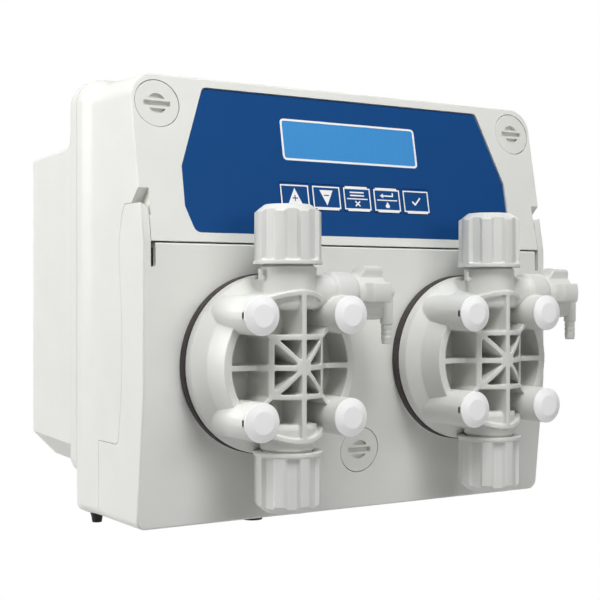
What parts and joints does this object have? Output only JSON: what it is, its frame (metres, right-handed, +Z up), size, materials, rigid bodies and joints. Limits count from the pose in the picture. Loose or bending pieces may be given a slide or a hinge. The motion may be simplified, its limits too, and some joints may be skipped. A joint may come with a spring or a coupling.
{
  "type": "diaphragm dosing pump",
  "caption": "Wall-mounted electronic dosing pump with two solenoid-driven diaphragm pump heads, blue keypad and display, bleed valves and fluted hose nuts.",
  "frame": {"origin": "centre of the flat back that lies against the wall", "axes": "+Y into the wall, +Z up, +X to the right as seen by a person who faces the control panel"},
  "size_m": [0.259, 0.1925, 0.237],
  "materials": {
    "shell": "satin, finely grained",
    "cover_screw": "satin",
    "key": "printed film",
    "black_rubber": "matte",
    "seal": "matte",
    "board": "solder mask",
    "display": "clear window over a lit display",
    "panel": "satin printed film",
    "knob": "satin",
    "valve": "satin",
    "diaphragm": "smooth",
    "ball": "polished",
    "nut": "satin",
    "gasket": "matte",
    "steel": "turned",
    "head": "satin",
    "coil": "potted coil in a painted can",
    "cap": "polished"
  },
  "bodies": {
    "housing": {"cable_gland": "black_rubber", "case_seal": "seal", "control_board": "board", "display_window": "display", "foot_left": "black_rubber", "foot_right": "black_rubber", "front_case": "shell", "keypad_panel": "panel", "lower_cover": "shell", "rear_case": "shell", "left_bleed_valve": "valve", "left_cap_1": "cap", "left_cap_2": "cap", "left_cap_3": "cap", "left_cap_4": "cap", "left_discharge_valve": "valve", "left_head_gasket": "gasket", "left_head_screw_1": "steel", "left_head_screw_2": "steel", "left_head_screw_3": "steel", "left_head_screw_4": "steel", "left_pump_head": "head", "left_solenoid": "coil", "left_suction_valve": "valve", "right_bleed_valve": "valve", "right_cap_1": "cap", "right_cap_2": "cap", "right_cap_3": "cap", "right_cap_4": "cap", "right_discharge_valve": "valve", "right_head_gasket": "gasket", "right_head_screw_1": "steel", "right_head_screw_2": "steel", "right_head_screw_3": "steel", "right_head_screw_4": "steel", "right_pump_head": "head", "right_solenoid": "coil", "right_suction_valve": "valve"},
    "key_up_body": {"key_up": "key"},
    "key_down_body": {"key_down": "key"},
    "key_menu_body": {"key_menu": "key"},
    "key_enter_body": {"key_enter": "key"},
    "key_set_body": {"key_set": "key"},
    "cover_screw_left_body": {"cover_screw_left": "cover_screw"},
    "cover_screw_right_body": {"cover_screw_right": "cover_screw"},
    "cover_screw_lower_body": {"cover_screw_lower": "cover_screw"},
    "left_drive": {"left_plunger": "steel", "left_diaphragm": "diaphragm"},
    "left_discharge_nut_body": {"left_discharge_nut": "nut"},
    "left_suction_nut_body": {"left_suction_nut": "nut"},
    "left_bleed_knob_body": {"left_bleed_knob": "knob"},
    "left_discharge_ball_body": {"left_discharge_ball": "ball"},
    "left_suction_ball_body": {"left_suction_ball": "ball"},
    "right_drive": {"right_plunger": "steel", "right_diaphragm": "diaphragm"},
    "right_discharge_nut_body": {"right_discharge_nut": "nut"},
    "right_suction_nut_body": {"right_suction_nut": "nut"},
    "right_bleed_knob_body": {"right_bleed_knob": "knob"},
    "right_discharge_ball_body": {"right_discharge_ball": "ball"},
    "right_suction_ball_body": {"right_suction_ball": "ball"}
  },
  "joints": [
    {"name": "key_up_press", "type": "slide", "parent": "housing", "child": "key_up_body", "axis": [0, 0.9829, -0.184], "range_m": [0, 0.0005], "stiffness_N_per_m": 3000, "springref_m": -0.0001},
    {"name": "key_down_press", "type": "slide", "parent": "housing", "child": "key_down_body", "axis": [0, 0.9829, -0.184], "range_m": [0, 0.0005], "stiffness_N_per_m": 3000, "springref_m": -0.0001},
    {"name": "key_menu_press", "type": "slide", "parent": "housing", "child": "key_menu_body", "axis": [0, 0.9829, -0.184], "range_m": [0, 0.0005], "stiffness_N_per_m": 3000, "springref_m": -0.0001},
    {"name": "key_enter_press", "type": "slide", "parent": "housing", "child": "key_enter_body", "axis": [0, 0.9829, -0.184], "range_m": [0, 0.0005], "stiffness_N_per_m": 3000, "springref_m": -0.0001},
    {"name": "key_set_press", "type": "slide", "parent": "housing", "child": "key_set_body", "axis": [0, 0.9829, -0.184], "range_m": [0, 0.0005], "stiffness_N_per_m": 3000, "springref_m": -0.0001},
    {"name": "cover_screw_left_turn", "type": "hinge", "parent": "housing", "child": "cover_screw_left_body", "pos_m": [-0.1134, -0.13327, 0.10112], "axis": [0, -0.9829, 0.184], "range_deg": [0, 90]},
    {"name": "cover_screw_right_turn", "type": "hinge", "parent": "housing", "child": "cover_screw_right_body", "pos_m": [0.1134, -0.13327, 0.10112], "axis": [0, -0.9829, 0.184], "range_deg": [0, 90]},
    {"name": "cover_screw_lower_turn", "type": "hinge", "parent": "housing", "child": "cover_screw_lower_body", "pos_m": [0, -0.14216, -0.0742], "axis": [0, -0.9936, -0.1132], "range_deg": [0, 90]},
    {"name": "left_stroke", "type": "slide", "parent": "housing", "child": "left_drive", "axis": [0, -1, 0], "range_m": [0, 0.00125], "stiffness_N_per_m": 4000, "springref_m": -0.003},
    {"name": "left_discharge_nut_turn", "type": "hinge", "parent": "housing", "child": "left_discharge_nut_body", "pos_m": [-0.063, -0.1729, 0.0223], "axis": [0, 0, 1], "range_deg": [0, 360]},
    {"name": "left_suction_nut_turn", "type": "hinge", "parent": "housing", "child": "left_suction_nut_body", "pos_m": [-0.063, -0.1729, -0.0673], "axis": [0, 0, -1], "range_deg": [0, 360]},
    {"name": "left_bleed_knob_turn", "type": "hinge", "parent": "housing", "child": "left_bleed_knob_body", "pos_m": [-0.0267, -0.1729, 0.0088], "axis": [1, 0, 0], "range_deg": [0, 180]},
    {"name": "left_discharge_ball_lift", "type": "slide", "parent": "housing", "child": "left_discharge_ball_body", "axis": [0, 0, 1], "range_m": [0, 0.0015]},
    {"name": "left_suction_ball_lift", "type": "slide", "parent": "housing", "child": "left_suction_ball_body", "axis": [0, 0, 1], "range_m": [0, 0.0015]},
    {"name": "right_stroke", "type": "slide", "parent": "housing", "child": "right_drive", "axis": [0, -1, 0], "range_m": [0, 0.00125], "stiffness_N_per_m": 4000, "springref_m": -0.003},
    {"name": "right_discharge_nut_turn", "type": "hinge", "parent": "housing", "child": "right_discharge_nut_body", "pos_m": [0.063, -0.1729, 0.0223], "axis": [0, 0, 1], "range_deg": [0, 360]},
    {"name": "right_suction_nut_turn", "type": "hinge", "parent": "housing", "child": "right_suction_nut_body", "pos_m": [0.063, -0.1729, -0.0673], "axis": [0, 0, -1], "range_deg": [0, 360]},
    {"name": "right_bleed_knob_turn", "type": "hinge", "parent": "housing", "child": "right_bleed_knob_body", "pos_m": [0.0993, -0.1729, 0.0088], "axis": [1, 0, 0], "range_deg": [0, 180]},
    {"name": "right_discharge_ball_lift", "type": "slide", "parent": "housing", "child": "right_discharge_ball_body", "axis": [0, 0, 1], "range_m": [0, 0.0015]},
    {"name": "right_suction_ball_lift", "type": "slide", "parent": "housing", "child": "right_suction_ball_body", "axis": [0, 0, 1], "range_m": [0, 0.0015]}
  ]
}
